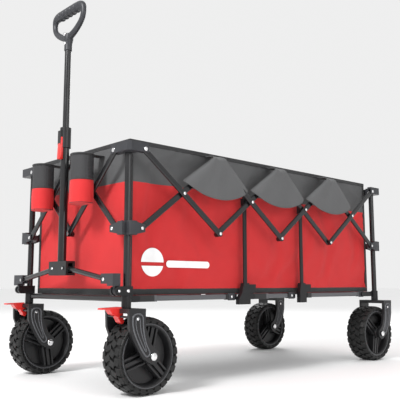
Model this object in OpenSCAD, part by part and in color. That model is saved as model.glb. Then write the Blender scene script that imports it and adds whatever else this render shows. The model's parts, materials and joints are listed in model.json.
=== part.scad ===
// Folding camp wagon. Millimetres. +X runs to the rear, +Z up, the handle is at -X, right is -Y.
// The origin lies on the ground, at the middle of the whole wagon's box.

/* [Frame] */
// Distance between front and rear post axes
post_span = 1206; // [1000:1:1450]
// Distance between right and left post axes
post_width = 538; // [440:1:650]
// Outside diameter of a post
post_d = 19; // [16:0.5:24]
// Wall of a post
post_wall = 2; // [1:0.5:3]
// Height of the top pivots
top_z = 654; // [600:1:760]
// Height of the middle pivots
mid_z = 438; // [400:1:470]
// From a post axis to the side pivots
side_inset = 30; // [28:0.5:36]
// From a post axis to the end pivots
end_inset = 35; // [32:0.5:42]

/* [Links and rivets] */
// Width of a scissor link
link_w = 18; // [14:0.5:20]
// Thickness of a scissor link
link_t = 9; // [6:0.5:9]
// Diameter of a pivot pin
pin_d = 6; // [4:0.5:7]
// Diameter of a rivet head
head_d = 12; // [9:0.5:14]
// Height of a rivet head
head_t = 1.5; // [1:0.1:1.8]
// Running clearance of a pin in its bore, on the radius
pin_gap = 0.05; // [0.02:0.01:0.1]
// Gap between parts that slide past each other
run_gap = 0.3; // [0.2:0.05:0.4]

/* [Wheels] */
// Diameter of a wheel over its tyre
wheel_d = 203; // [170:1:215]
// Width of a tyre
wheel_w = 75; // [50:1:80]
// Depth of the tyre, from tread to rim
tyre_t = 13.5; // [10:0.5:20]
// Diameter of an axle
axle_d = 8; // [6:0.5:12]
// How far a front axle trails its post
front_trail = 50; // [40:1:55]
// How far a rear axle leads its post
rear_lead = 45; // [40:1:55]
// Inner gap between the two legs of a fork
fork_gap = 91; // [86:1:98]
// Thickness of a fork leg
leg_t = 9; // [6:0.5:12]

/* [Handle] */
// How far the handle's hinge lies ahead of the post axis
hinge_out = 33; // [32:0.5:36]
// Height of the handle's hinge
hinge_z = 271; // [271:1:280]
// How far the pull tube lies ahead of the post axis
pull_out = 40; // [38:0.5:44]
// Outside diameter of the lower tube
lower_d = 25; // [23:0.5:26]
// Outside diameter of the sliding upper tube
upper_d = 19.5; // [16:0.5:20]
// Height of the lower tube's top end
lower_top = 750; // [700:1:800]
// Height of the top of the grip
grip_top = 1142; // [1060:1:1200]
// Half of the grip's width
grip_half = 92; // [75:1:110]
// Height where the pull tube's two arms are pinned
arm_pin_z = 334.5; // [330:0.5:345]

/* [Tub and cups] */
// Height of the tub's top edge
tub_top = 690; // [676:1:720]
// Height of the tub's lower hem
tub_low = 259; // [259:1:265]
// Thickness of the padded fabric
cloth_t = 4; // [2:0.5:6]
// From the side of the post axes in to the side walls' outer face
side_wall_in = 20; // [20:0.5:24]
// From the end of the post axes in to the end walls' outer face
end_wall_in = 18.5; // [17:0.5:24]
// Outside diameter of a cup holder
cup_d = 74; // [60:1:90]
// From the front post plane out to a cup's middle
cup_out = 46; // [40:1:70]
// From the wagon's middle plane to a cup's middle
cup_side = 112; // [95:1:130]
// Height of a cup's base
cup_low = 514; // [490:1:540]
// Height of a cup's rim
cup_top = 656; // [640:1:674]

/* [Struts and rails] */
// Width of a strut
strut_w = 16; // [12:0.5:18]
// Thickness of a strut
strut_t = 8; // [6:0.5:8]
// Height of a strut's top end
strut_top = 600; // [570:1:620]
// Height of the bottom rails' middle
rail_z = 250; // [250:0.5:251]
// Height of a bottom rail's section
rail_h = 15; // [12:0.5:16]
// Thickness of a bottom rail's section
rail_t = 8.5; // [6:0.5:8.5]
// From the front post axis to the first rail's pivot
rail1_pivot = 39.5; // [36:0.5:44]
// From a strut to the second rail's pivot
rail2_pivot = 36; // [32:0.5:40]
// From the rear post axis to the third rail's pivot
rail3_pivot = 80; // [70:1:90]

/* [Hidden] */

BLACK = [0.07, 0.07, 0.08];
GREY = [0.27, 0.28, 0.30];
RED = [0.72, 0.05, 0.05];
CLOTH_GREY = [0.22, 0.23, 0.25];
STEEL = [0.75, 0.75, 0.77];
RIM_GREY = [0.20, 0.20, 0.21];

post_x = post_span / 2;
post_y = post_width / 2;
post_r = post_d / 2;
pin_r = pin_d / 2;
bore_r = pin_r + pin_gap;
head_r = head_d / 2;
sleeve_r = post_r + 3.5;
sleeve_low = 226;
sleeve_top = 262;
hinge_block_low = sleeve_top - 3.5;
slider_r = post_r + 5;
slider_h = 32;
bracket_low = top_z - 9;
bracket_top = top_z + 17;

// the four columns of side joints and the crossings half way between them
column = (post_span - 2 * side_inset) / 4;
function joint_x(k) = side_inset + k * column;
function up(k) = [joint_x(k), top_z];
function down(k) = [joint_x(k), mid_z];
cross_z = (top_z + mid_z) / 2;

// the three layers of side links, measured outboard of the post axes
layer_gap = 1;
layer_in = 6;
layer_mid = layer_in + link_t + layer_gap;
layer_out = layer_mid + link_t + layer_gap;
// the two layers of end links
end_in = 4.5;
end_out = end_in + link_t + layer_gap;
end_face = end_out + link_t + 3;
end_middle = post_y - end_inset;

strut_mid = -0.5;
strut_clear = 0.3;
collar_in = strut_mid - strut_t / 2 - 2.2;
collar_out = strut_mid + strut_t / 2 + 2.2;
rail_out = collar_in - 0.3;
clip_t = rail_t + 3.8;
strut2_x = joint_x(1.5);
strut3_x = joint_x(2.5);
rail1_end = strut2_x - 31;
rail2_end = strut3_x - 28;
rail3_end = strut3_x + 40;

axle_z = wheel_d / 2;
axle_r = axle_d / 2;
rim_r = wheel_d / 2 - tyre_t;
fork_top = sleeve_low - 0.3;
leg_in = fork_gap / 2;
leg_out = leg_in + leg_t;

// the whole box runs from the cups to the rear tyres
front_reach = post_x + cup_out + cup_d / 2;
rear_reach = post_x - rear_lead + wheel_d / 2;
x_shift = (front_reach - rear_reach) / 2;

wall_y = post_y - side_wall_in;
wall_x = post_x - end_wall_in;
floor_z = tub_low + 5;

// ---------- places ----------
// a corner post: +x inward along the wagon, +y outboard of its side
module at_post(end, side) {
    translate([x_shift + end * post_x, side * post_y, 0])
    if (end < 0 && side > 0) children();
    else if (end < 0) mirror([0, 1, 0]) children();
    else if (side > 0) mirror([1, 0, 0]) children();
    else rotate([0, 0, 180]) children();
}
// a side: x from the front post, +y outboard
module at_side(side) {
    translate([x_shift - post_x, side * post_y, 0])
    if (side > 0) children();
    else mirror([0, 1, 0]) children();
}
// an end: x along the wagon's width, +y outboard
module at_end(end) {
    translate([x_shift + end * post_x, 0, 0])
    if (end < 0) rotate([0, 0, 90]) children();
    else mirror([1, 0, 0]) rotate([0, 0, 90]) children();
}
module both_sides() {
    for (side = [-1, 1]) at_side(side) children();
}

// ---------- small shapes ----------
// a round pin along y
module pin_y(r, low, high) {
    translate([0, high, 0]) rotate([90, 0, 0]) cylinder(r = r, h = high - low, $fn = 48);
}
module rivet_y(low, high) {
    pin_y(pin_r, low, high);
    pin_y(head_r, high, high + head_t);
    pin_y(head_r, low - head_t, low);
}
module stadium(w, t) {
    square([w - t, t], center = true);
    for (s = [-1, 1]) translate([s * (w - t) / 2, 0]) circle(d = t, $fn = 32);
}
// a flat oval link from p to q (x, z), its thickness outboard of y = layer
module link_bar(p, q, layer, bores) {
    v = q - p;
    len = norm(v);
    translate([p[0], layer, p[1]]) rotate([0, -atan2(v[1], v[0]), 0])
    difference() {
        intersection() {
            translate([0, link_t, 0]) rotate([90, 0, 0]) linear_extrude(link_t) {
                translate([0, -link_w / 2]) square([len, link_w]);
                for (x = [0, len]) translate([x, 0]) circle(d = link_w, $fn = 48);
            }
            translate([-link_w, link_t / 2, 0]) rotate([0, 90, 0])
            linear_extrude(len + 2 * link_w) stadium(link_w, link_t);
        }
        for (b = bores) translate([b * len, 0, 0]) pin_y(bore_r, -1, link_t + 1);
    }
}
// a rivet made in one with its link: it passes the neighbour in layer `other`
module link_rivet(p, q, at, own, other) {
    c = p + at * (q - p);
    outward = other > own;
    low = outward ? own : other - run_gap;
    high = outward ? other + link_t + run_gap : own + link_t;
    translate([c[0], 0, c[1]]) {
        pin_y(pin_r, low, high + (outward ? head_t : 0));
        if (!outward) pin_y(pin_r, low - head_t, low);
        if (outward) pin_y(head_r, high, high + head_t);
        if (!outward) pin_y(head_r, low - head_t, low);
        if (!outward) pin_y(head_r, high, high + head_t);
    }
}
module side_link(p, q, own, bores, rivets) {
    both_sides() {
        link_bar(p, q, own, bores);
        for (r = rivets) link_rivet(p, q, r[0], own, r[1]);
    }
}

// ---------- posts and brackets ----------
module post(end, side) {
    at_post(end, side) difference() {
        translate([0, 0, sleeve_low]) cylinder(r = post_r, h = bracket_top - 4 - sleeve_low, $fn = 48);
        translate([0, 0, sleeve_low - 1])
        cylinder(r = post_r - post_wall, h = bracket_top - 7 - sleeve_low, $fn = 48);
    }
}
// the sleeve at a post's foot, with the plate that carries a side rail
module sleeve(end, side, pivot) {
    plate_h = 18;
    high = end < 0 ? hinge_block_low - 0.3 : sleeve_top;
    at_post(end, side) {
        difference() {
            union() {
                translate([0, 0, sleeve_low]) cylinder(r = sleeve_r, h = high - sleeve_low, $fn = 64);
                translate([0, collar_in, rail_z - plate_h / 2])
                cube([pivot, -collar_in - 0.5, min(plate_h, high - rail_z + plate_h / 2)]);
                translate([pivot, 0, rail_z]) pin_y(8, collar_in, -0.5);
            }
            translate([0, 0, sleeve_low - 1]) cylinder(r = post_r + 0.05, h = 60, $fn = 48);
        }
        translate([pivot, 0, rail_z]) pin_y(pin_r, rail_out - clip_t, collar_in);
    }
}
// which layer each end's long link from a top bracket lies in
function end_layer(side) = side < 0 ? end_out : end_in;

module top_bracket(end, side) {
    own = end < 0 ? layer_out : layer_mid;
    face = own + link_t + 2.5;
    arm = side_inset + 11;
    drop = end_inset + 13;
    facet = 9;
    low = end_layer(side);
    at_post(end, side) difference() {
        translate([0, 0, bracket_low]) linear_extrude(bracket_top - bracket_low) polygon([
            [-end_face, -drop], [-end_face, face - facet], [facet - end_face, face], [arm, face],
            [arm, own - 5], [slider_r, own - 5], [slider_r, -slider_r], [-1, -slider_r], [-1, -drop]]);
        translate([0, 0, bracket_low - 1]) cylinder(r = post_r + 0.05, h = bracket_top - bracket_low - 3, $fn = 48);
        translate([side_inset - 10.5, own - run_gap, bracket_low - 1])
        cube([40, link_t + 2 * run_gap, top_z + 10.5 - bracket_low]);
        translate([-low - link_t - run_gap, -drop - 1, bracket_low - 1])
        cube([link_t + 2 * run_gap, 24.5, top_z + 10.5 - bracket_low]);
        translate([side_inset, 0, top_z]) pin_y(bore_r, own - 10, face + 1);
        translate([0, -end_inset, top_z]) rotate([0, 0, 90]) pin_y(bore_r, 0, end_face + 1);
    }
}
module ear(reach) {
    circle_r = link_w / 2;
    translate([reach, 0]) circle(r = circle_r, $fn = 48);
    polygon([[0, -slider_h / 2], [0, slider_h / 2], [12, slider_h / 2], [reach + 3, circle_r - 0.5],
             [reach + 3, 0.5 - circle_r], [12, -slider_h / 2]]);
}
// the fixed half of a middle bracket, which carries the end links
module mid_bracket(end, side) {
    face = -end_layer(-side) + run_gap;
    at_post(end, side) difference() {
        union() {
            difference() {
                translate([0, 0, mid_z - slider_h / 2]) cylinder(r = slider_r, h = slider_h, $fn = 64);
                translate([0.5, -50, mid_z - 40]) cube([100, 100, 80]);
            }
            translate([0.5, 0, mid_z]) rotate([90, 0, -90]) linear_extrude(0.5 - face) ear(end_inset);
        }
        translate([0, 0, mid_z - 40]) cylinder(r = post_r + 0.05, h = 80, $fn = 48);
        translate([0, -end_inset, mid_z]) rotate([0, 0, 90]) pin_y(bore_r, -5, 30);
    }
}
// the sliding half of a middle bracket, which carries the side link
module slider(end, side) {
    own = end < 0 ? layer_mid : layer_in;
    face = own - run_gap;
    at_post(end, side) difference() {
        union() {
            difference() {
                translate([0, 0, mid_z - slider_h / 2]) cylinder(r = slider_r, h = slider_h, $fn = 64);
                translate([-99, -50, mid_z - 40]) cube([100, 100, 80]);
            }
            translate([1, face, mid_z]) rotate([90, 0, 0]) linear_extrude(9.7) ear(side_inset - 1);
            translate([side_inset, 0, mid_z]) pin_y(pin_r, face, own + link_t + run_gap + head_t);
            translate([side_inset, 0, mid_z])
            pin_y(head_r, own + link_t + run_gap, own + link_t + run_gap + head_t);
        }
        translate([0, 0, mid_z - 40]) cylinder(r = post_r + run_gap, h = 80, $fn = 48);
    }
}

// ---------- end frames ----------
module end_links(end) {
    m = end_middle;
    at_end(end) {
        link_bar([-m, top_z], [0, mid_z], end_out, [0, 0.5, 1]);
        link_bar([0, top_z], [m, mid_z], end_out, [0, 0.5, 1]);
        link_bar([-m, mid_z], [0, top_z], end_in, [0, 0.5, 1]);
        link_bar([0, mid_z], [m, top_z], end_in, [0, 0.5, 1]);
    }
}
module end_rivets(end) {
    m = end_middle;
    high = end_out + link_t;
    own = end < 0 ? layer_out : layer_mid;
    at_end(end) {
        for (x = [-1, 1]) translate([x * m / 2, 0, cross_z]) rivet_y(end_in, high);
        for (z = [top_z, mid_z]) translate([0, 0, z]) rivet_y(end_in, high);
        for (x = [-1, 1]) translate([x * m, 0, top_z]) {
            pin_y(pin_r, 1, end_face);
            pin_y(head_r, end_face, end_face + head_t);
        }
        for (x = [-1, 1]) {
            layer = x < 0 ? end_in : end_out;
            translate([x * m, 0, mid_z]) {
                pin_y(pin_r, -0.5, layer + link_t);
                pin_y(head_r, layer + link_t, layer + link_t + head_t);
            }
        }
    }
    for (side = [-1, 1]) at_post(end, side) translate([side_inset, 0, top_z]) {
        pin_y(pin_r, own - 5, own + link_t + 2.5);
        pin_y(head_r, own + link_t + 2.5, own + link_t + 2.5 + head_t);
    }
}
module bottom_cross_rail(end) {
    reach = post_y - sleeve_r - 0.05;
    at_end(end) translate([-reach, 0, rail_z]) rotate([0, 90, 0]) linear_extrude(2 * reach)
    stadium(rail_h, rail_t);
}

// ---------- struts and rails ----------
module strut(x, lug) {
    foot_out = 8;
    foot_in = lug ? 36 : 20;
    both_sides() translate([x, 0, 0]) {
        translate([0, strut_mid, 240]) linear_extrude(strut_top - 240) stadium(strut_w, strut_t);
        difference() {
            union() {
                translate([0, foot_out, 0]) rotate([90, 0, 0]) linear_extrude(foot_out - collar_in) polygon([
                    [-foot_in, sleeve_low], [-foot_in, 243], [-max(20, foot_in - 14), 262], [-13, 292],
                    [11, 292], [11, 288], [41, 288], [41, 262], [16, 262], [16, sleeve_low]]);
                if (lug) translate([rail2_pivot, 0, rail_z]) pin_y(9, collar_in, 2);
                if (lug) translate([12, collar_in, rail_z - 9]) cube([rail2_pivot - 12, 2 - collar_in, 20]);
            }
            translate([0, strut_mid, 240]) linear_extrude(99) stadium(strut_w + 0.1, strut_t + 0.1);
        }
        if (lug) translate([rail2_pivot, 0, rail_z]) pin_y(pin_r, rail_out - clip_t, collar_in);
    }
}
// the collar that slides on a strut, with the stud that joins two crossing links
module collar(x, inner, outer) {
    end = outer + link_t + run_gap;
    both_sides() translate([x, 0, cross_z]) difference() {
        union() {
            translate([-strut_w / 2 - 3, collar_in, -14]) cube([strut_w + 6, collar_out - collar_in, 28]);
            pin_y(pin_r, collar_out, end + head_t);
            pin_y(head_r, end, end + head_t);
            if (inner > layer_in) pin_y(head_r, collar_out, inner - run_gap);
        }
        translate([0, strut_mid, -20]) linear_extrude(40)
        stadium(strut_w + 2 * strut_clear, strut_t + 2 * strut_clear);
    }
}
// a bottom rail from its pivot; way is +1 to the rear or -1 to the front
module bottom_rail(pivot, far, near_clip, far_clip) {
    len = abs(far - pivot);
    way = far > pivot ? 1 : -1;
    clip_h = rail_h + 3;
    rail_y = rail_out - clip_t / 2;
    both_sides() translate([pivot, 0, rail_z]) difference() {
        union() {
            translate([way > 0 ? 0 : -len, rail_y, 0]) rotate([0, 90, 0])
            linear_extrude(len) stadium(rail_h, rail_t);
            pin_y(clip_h / 2, rail_out - clip_t, rail_out);
            translate([way > 0 ? 0 : -near_clip, rail_out - clip_t, -clip_h / 2])
            cube([near_clip, clip_t, clip_h]);
            translate([way > 0 ? len - far_clip : -len, rail_out - clip_t, -clip_h / 2])
            cube([far_clip, clip_t, clip_h]);
        }
        pin_y(bore_r, rail_out - clip_t - 1, rail_out + 1);
    }
}

// ---------- wheels and forks ----------
module leg_outline(trail) {
    translate([trail, axle_z]) circle(r = 20, $fn = 48);
    polygon([[-30, fork_top], [-28, 177], [trail - 65, 145], [trail - 47, 117], [trail - 34, 99],
             [trail - 17, 88], [trail, 82], [trail + 18, 110], [trail - 6, 133], [trail - 15, 154],
             [24, 178], [24, fork_top]]);
}
module fork(end, side, trail) {
    brake = end < 0;
    plate_t = 11.5;
    at_post(end, side) {
        difference() {
            union() {
                for (s = [-1, 1]) translate([0, s > 0 ? leg_out : -leg_in, 0]) rotate([90, 0, 0])
                linear_extrude(leg_t) leg_outline(trail);
                translate([-30, -leg_out, fork_top - plate_t]) cube([54, 2 * leg_out, plate_t]);
                if (brake) translate([0, 0, fork_top - 2])
                cylinder(r = post_r - post_wall - 0.05, h = 36, $fn = 48);
            }
            translate([trail, 0, axle_z]) pin_y(axle_r + pin_gap, -leg_out - 1, leg_out + 1);
            if (brake) translate([-40, -13, 200]) cube([24, 26, 50]);
        }
        if (brake) translate([-25, 0, 205]) pin_y(pin_r, -leg_in, leg_in);
    }
}
module axle(end, side, trail) {
    at_post(end, side) translate([trail, 0, axle_z]) {
        pin_y(axle_r, -leg_out - 4, leg_out + 4);
        pin_y(10, leg_out, leg_out + 4);
        pin_y(10, -leg_out - 4, -leg_out);
    }
}
module brake_pedal(side) {
    at_post(-1, side) difference() {
        union() {
            translate([-25, 0, 205]) pin_y(8, -11, 11);
            translate([0, 11, 0]) rotate([90, 0, 0]) linear_extrude(22) polygon([
                [-82, 224], [-81, 228], [-23, 230], [-20, 222], [-14, 192], [-18, 186], [-25, 190],
                [-33, 205], [-51, 212], [-60, 224]]);
        }
        translate([-25, 0, 205]) pin_y(bore_r, -20, 20);
    }
}
module at_wheel(end, side, trail) {
    at_post(end, side) translate([trail, 0, axle_z]) rotate([90, 0, 0]) children();
}
module tyre(end, side, trail) {
    r = wheel_d / 2;
    h = wheel_w / 2;
    at_wheel(end, side, trail) rotate_extrude($fn = 96) polygon([
        [rim_r, -h + 6], [r - 9, -h], [r - 3, -h + 5], [r, -h + 14], [r, h - 14], [r - 3, h - 5],
        [r - 9, h], [rim_r, h - 6]]);
}
module rim(end, side, trail) {
    h = wheel_w / 2 - 6;
    hub_r = 20;
    at_wheel(end, side, trail) difference() {
        union() {
            difference() {
                translate([0, 0, -h]) cylinder(r = rim_r - 0.05, h = 2 * h, $fn = 96);
                translate([0, 0, -h - 1]) cylinder(r = rim_r - 10, h = 2 * h + 2, $fn = 96);
            }
            translate([0, 0, -4]) cylinder(r = rim_r - 9, h = 8, $fn = 96);
            translate([0, 0, -leg_in + 1]) cylinder(r = hub_r, h = 2 * leg_in - 2, $fn = 64);
            for (a = [0, 120, 240]) rotate([0, 0, a + 76]) translate([0, -14, -h + 3])
            cube([rim_r - 8, 28, 2 * h - 6]);
        }
        translate([0, 0, -60]) cylinder(r = axle_r + pin_gap, h = 120, $fn = 48);
    }
}

// ---------- handle ----------
module at_front() {
    translate([x_shift - post_x, 0, 0]) children();
}
arm_r = 7.5;
arm_end_y = 228;
arm_end_z = 303;
module handle_yoke() {
    color(GREY) at_front() difference() {
        translate([-pull_out - 15, -49, 314]) cube([30, 98, 41]);
        for (s = [-1, 1]) translate([-pull_out - arm_r - run_gap, s > 0 ? 16 : -60, 320])
        cube([2 * arm_r + 2 * run_gap, 44, 29]);
        translate([-pull_out, 0, 318]) cylinder(d = lower_d + 0.1, h = 60, $fn = 48);
        for (s = [-1, 1]) translate([-pull_out, s * 32.5, arm_pin_z]) rotate([0, 0, 90]) pin_y(bore_r, -20, 20);
    }
}
module handle_arms() {
    len = norm([arm_end_y - 32.5, arm_pin_z - arm_end_z]);
    tilt = atan2(arm_pin_z - arm_end_z, arm_end_y - 32.5);
    color(BLACK) for (s = [-1, 1]) at_front() {
        difference() {
            translate([-pull_out, s * 32.5, arm_pin_z]) rotate([-s * (90 + tilt), 0, 0])
            cylinder(r = arm_r, h = len, $fn = 48);
            for (p = [[32.5, arm_pin_z], [arm_end_y, arm_end_z]])
            translate([-pull_out, s * p[0], p[1]]) rotate([0, 0, 90]) pin_y(bore_r, -20, 20);
        }
        translate([-pull_out, s * 32.5, arm_pin_z]) rotate([0, 0, 90]) rivet_y(-15, 15);
        translate([-pull_out, s * arm_end_y, arm_end_z]) rotate([0, 0, 90]) rivet_y(-13, 11);
    }
}
module handle_corner_brackets() {
    color(GREY) for (side = [-1, 1]) at_side(side) difference() {
        union() {
            translate([-51, 222 - post_y, 290]) cube([24, 279 - 222, 27]);
            translate([-51, 252 - post_y, hinge_z + 13.3]) cube([24, 27, 30]);
            translate([-hinge_out - 8, -5, hinge_z]) cube([16, 10, 20]);
            translate([-hinge_out, 0, hinge_z]) pin_y(9.5, -5, 5);
        }
        translate([-pull_out - arm_r - run_gap, 221 - post_y, 289]) cube([2 * arm_r + 2 * run_gap, 20, 30]);
        translate([-pull_out, arm_end_y - post_y, arm_end_z]) rotate([0, 0, 90]) pin_y(bore_r, -20, 20);
        translate([-hinge_out, 0, hinge_z]) pin_y(bore_r, -10, 10);
    }
}
module handle_lower_tube() {
    color(BLACK) at_front() translate([-pull_out, 0, 0]) difference() {
        translate([0, 0, 318.2]) cylinder(d = lower_d, h = lower_top - 318.2, $fn = 48);
        translate([0, 0, 321]) cylinder(d = upper_d + 1, h = lower_top, $fn = 48);
    }
}
module handle_lock_collar() {
    color(GREY) at_front() translate([-pull_out, 0, 0]) difference() {
        union() {
            translate([0, 0, lower_top - 55]) cylinder(r = lower_d / 2 + 4, h = 62, $fn = 64);
            translate([-lower_d / 2 - 9, -8, lower_top - 48]) cube([12, 16, 44]);
        }
        translate([0, 0, lower_top - 56]) cylinder(d = lower_d + 0.1, h = 56, $fn = 48);
        translate([0, 0, lower_top - 2]) cylinder(d = upper_d + 1, h = 20, $fn = 48);
    }
}
neck_low = 1001;
neck_top = 1040;
module handle_upper_tube() {
    color(BLACK) at_front() translate([-pull_out, 0, 0]) difference() {
        translate([0, 0, strut_top]) cylinder(d = upper_d, h = neck_top - 5 - strut_top, $fn = 48);
        translate([0, 0, strut_top - 1]) cylinder(d = upper_d - 3, h = neck_top - 8 - strut_top, $fn = 48);
    }
}
function arc(x, z, r, from, to) = [for (i = [0:6]) [x + r * cos(from + (to - from) * i / 6),
                                                    z + r * sin(from + (to - from) * i / 6)]];
function flip(p) = [for (i = [len(p) - 1:-1:0]) [-p[i][0], p[i][1]]];
module handle_grip() {
    t = 24;
    outer = concat(arc(grip_half - 24, grip_top - 24, 24, 90, 0), arc(grip_half - 34, grip_top - 62, 34, 0, -52),
                   [[18, neck_top]]);
    inner = concat(arc(grip_half - 26, grip_top - 40, 12, 90, 0), arc(grip_half - 40, grip_top - 60, 26, 0, -50),
                   [[10, neck_top + 17]]);
    color(GREY) at_front() translate([-pull_out, 0, 0]) {
        translate([0, t / 2, 0]) rotate([0, 0, 90]) rotate([90, 0, 0])
        translate([-t / 2, 0, -t / 2]) linear_extrude(t) difference() {
            polygon(concat(outer, flip(outer)));
            polygon(concat(inner, flip(inner)));
        }
        difference() {
            translate([0, 0, neck_low]) cylinder(r1 = 12.5, r2 = 17, h = neck_top - neck_low - 0.05, $fn = 48);
            translate([0, 0, neck_low - 1]) cylinder(d = upper_d + 0.1, h = neck_top - neck_low - 4, $fn = 48);
        }
    }
}
module handle_hinge_blocks() {
    r = 12.5;
    color(BLACK) for (side = [-1, 1]) at_side(side) {
        difference() {
            union() {
                translate([-hinge_out, 0, hinge_z]) pin_y(r, -13, 13);
                translate([-hinge_out, -13, hinge_z - r]) cube([hinge_out + 12, 26, 2 * r]);
            }
            cylinder(r = post_r + 0.05, h = 400, $fn = 48);
            translate([-hinge_out - 20, -5 - run_gap, hinge_z - 20]) cube([33, 10 + 2 * run_gap, 40]);
            translate([-hinge_out, 0, hinge_z]) pin_y(bore_r, -20, 20);
        }
        translate([-hinge_out, 0, hinge_z]) rivet_y(-13, 13);
    }
}

// ---------- tub and cups ----------
module end_wall(end) {
    reach = wall_y - cloth_t - run_gap;
    at_end(end) translate([-reach, -end_wall_in - cloth_t, tub_low])
    cube([2 * reach, cloth_t, tub_top - tub_low]);
}
module side_walls() {
    color(RED) for (side = [-1, 1]) at_side(side)
    translate([end_wall_in, -side_wall_in - cloth_t, tub_low])
    cube([post_span - 2 * end_wall_in, cloth_t, tub_top - tub_low]);
}
module tub_floor() {
    x = wall_x - cloth_t - run_gap;
    y = wall_y - cloth_t - run_gap;
    color(BLACK) translate([x_shift - x, -y, floor_z]) cube([2 * x, 2 * y, cloth_t]);
}
// a petal that hangs over each upper joint, with a bridge back to the wall
module side_flaps() {
    out = layer_out + link_t + 3.5;
    low = mid_z + 115;
    wide = (joint_x(1) - joint_x(0)) / 2 - 11.25;
    color(CLOTH_GREY) both_sides() for (k = [1, 2, 3]) translate([joint_x(k), 0, 0]) {
        translate([0, out + 2, 0]) rotate([90, 0, 0]) linear_extrude(2) polygon([
            [-62, tub_top], [62, tub_top], [wide, low + 14], [wide - 42, low], [42 - wide, low],
            [-wide, low + 14]]);
        translate([-62, -side_wall_in + run_gap, tub_top - 4]) cube([124, out + side_wall_in - run_gap, 4]);
    }
}
module cup_holders() {
    back = end_face + 2;
    color(BLACK) for (side = [-1, 1]) translate([x_shift - post_x, side * cup_side, 0]) {
        difference() {
            translate([-cup_out, 0, cup_low]) cylinder(d = cup_d, h = cup_top - cup_low, $fn = 64);
            translate([-cup_out, 0, cup_low + 4]) cylinder(d = cup_d - 6, h = cup_top, $fn = 64);
            translate([-back, -60, 0]) cube([99, 120, 900]);
        }
        difference() {
            translate([-back - 3, -cup_d / 2, cup_low]) cube([3, cup_d, cup_top + 4 - cup_low]);
            translate([-back - 4, -cup_d, cup_low - 1]) cube([9, cup_d * 0.75, cup_top - 1 - cup_low]);
            translate([-back - 4, cup_d / 4, cup_low - 1]) cube([9, cup_d * 0.75, cup_top - 1 - cup_low]);
        }
        translate([-back, -20, cup_top]) cube([back + end_wall_in - run_gap, 40, 4]);
    }
}

// ---------- the nodes ----------
module post_pair(end) {
    for (s = [-1, 1]) post(end, s);
}
module front_posts() { color(BLACK) post_pair(-1); }
module rear_posts() { color(BLACK) post_pair(1); }
module front_sleeves() { color(BLACK) for (s = [-1, 1]) sleeve(-1, s, rail1_pivot); }
module rear_sleeves() { color(BLACK) for (s = [-1, 1]) sleeve(1, s, rail3_pivot); }
module front_top_brackets() { color(GREY) for (s = [-1, 1]) top_bracket(-1, s); }
module rear_top_brackets() { color(GREY) for (s = [-1, 1]) top_bracket(1, s); }
module front_mid_brackets() { color(GREY) for (s = [-1, 1]) mid_bracket(-1, s); }
module rear_mid_brackets() { color(GREY) for (s = [-1, 1]) mid_bracket(1, s); }
module front_sliders() { color(GREY) for (s = [-1, 1]) slider(-1, s); }
module rear_sliders() { color(GREY) for (s = [-1, 1]) slider(1, s); }
module front_links() { color(BLACK) end_links(-1); }
module rear_links() { color(BLACK) end_links(1); }
module front_rivets() { color(STEEL) end_rivets(-1); }
module rear_rivets() { color(STEEL) end_rivets(1); }
module front_bottom_rail() { color(BLACK) bottom_cross_rail(-1); }
module rear_bottom_rail() { color(BLACK) bottom_cross_rail(1); }
module front_wall() { color(RED) end_wall(-1); }
module rear_wall() { color(RED) end_wall(1); }
module front_fork_right() { color(GREY) fork(-1, -1, front_trail); }
module front_fork_left() { color(GREY) fork(-1, 1, front_trail); }
module front_axle_right() { color(STEEL) axle(-1, -1, front_trail); }
module front_axle_left() { color(STEEL) axle(-1, 1, front_trail); }
module rear_forks() {
    color(GREY) for (s = [-1, 1]) {
        fork(1, s, rear_lead);
        axle(1, s, rear_lead);
    }
}
module brake_pedal_right() { color(RED) brake_pedal(-1); }
module brake_pedal_left() { color(RED) brake_pedal(1); }
module front_tyre_right() { color(BLACK) tyre(-1, -1, front_trail); }
module front_tyre_left() { color(BLACK) tyre(-1, 1, front_trail); }
module rear_tyre_right() { color(BLACK) tyre(1, -1, rear_lead); }
module rear_tyre_left() { color(BLACK) tyre(1, 1, rear_lead); }
module front_rim_right() { color(RIM_GREY) rim(-1, -1, front_trail); }
module front_rim_left() { color(RIM_GREY) rim(-1, 1, front_trail); }
module rear_rim_right() { color(RIM_GREY) rim(1, -1, rear_lead); }
module rear_rim_left() { color(RIM_GREY) rim(1, 1, rear_lead); }
// a-links start at a top pivot, b-links at a middle pivot
module link_a1() { color(BLACK) side_link(up(0), down(1), layer_out, [0], [[0.5, layer_mid], [1, layer_mid]]); }
module link_b1() { color(BLACK) side_link(down(0), up(1), layer_mid, [0, 0.5], [[1, layer_out]]); }
module link_a2() { color(BLACK) side_link(down(1), up(2), layer_mid, [0, 0.5], [[1, layer_in]]); }
module link_b2() { color(BLACK) side_link(up(1), down(2), layer_out, [0, 0.5], [[1, layer_mid]]); }
module link_a3() { color(BLACK) side_link(up(2), down(3), layer_in, [0, 0.5], [[1, layer_mid]]); }
module link_b3() { color(BLACK) side_link(down(2), up(3), layer_mid, [0, 0.5], [[1, layer_in]]); }
module link_a4() { color(BLACK) side_link(down(3), up(4), layer_mid, [0, 1], [[0.5, layer_in]]); }
module link_b4() { color(BLACK) side_link(up(3), down(4), layer_in, [0, 0.5, 1], []); }
module collar_2() { color(GREY) collar(strut2_x, layer_mid, layer_out); }
module collar_3() { color(GREY) collar(strut3_x, layer_in, layer_mid); }
module strut_2() { color(BLACK) strut(strut2_x, true); }
module strut_3() { color(BLACK) strut(strut3_x, false); }
module bottom_rail_1() { color(BLACK) bottom_rail(rail1_pivot, rail1_end, 70, 46); }
module bottom_rail_2() { color(BLACK) bottom_rail(strut2_x + rail2_pivot, rail2_end, 81, 39); }
module bottom_rail_3() { color(BLACK) bottom_rail(post_span - rail3_pivot, rail3_end, 21, 23); }

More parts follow.
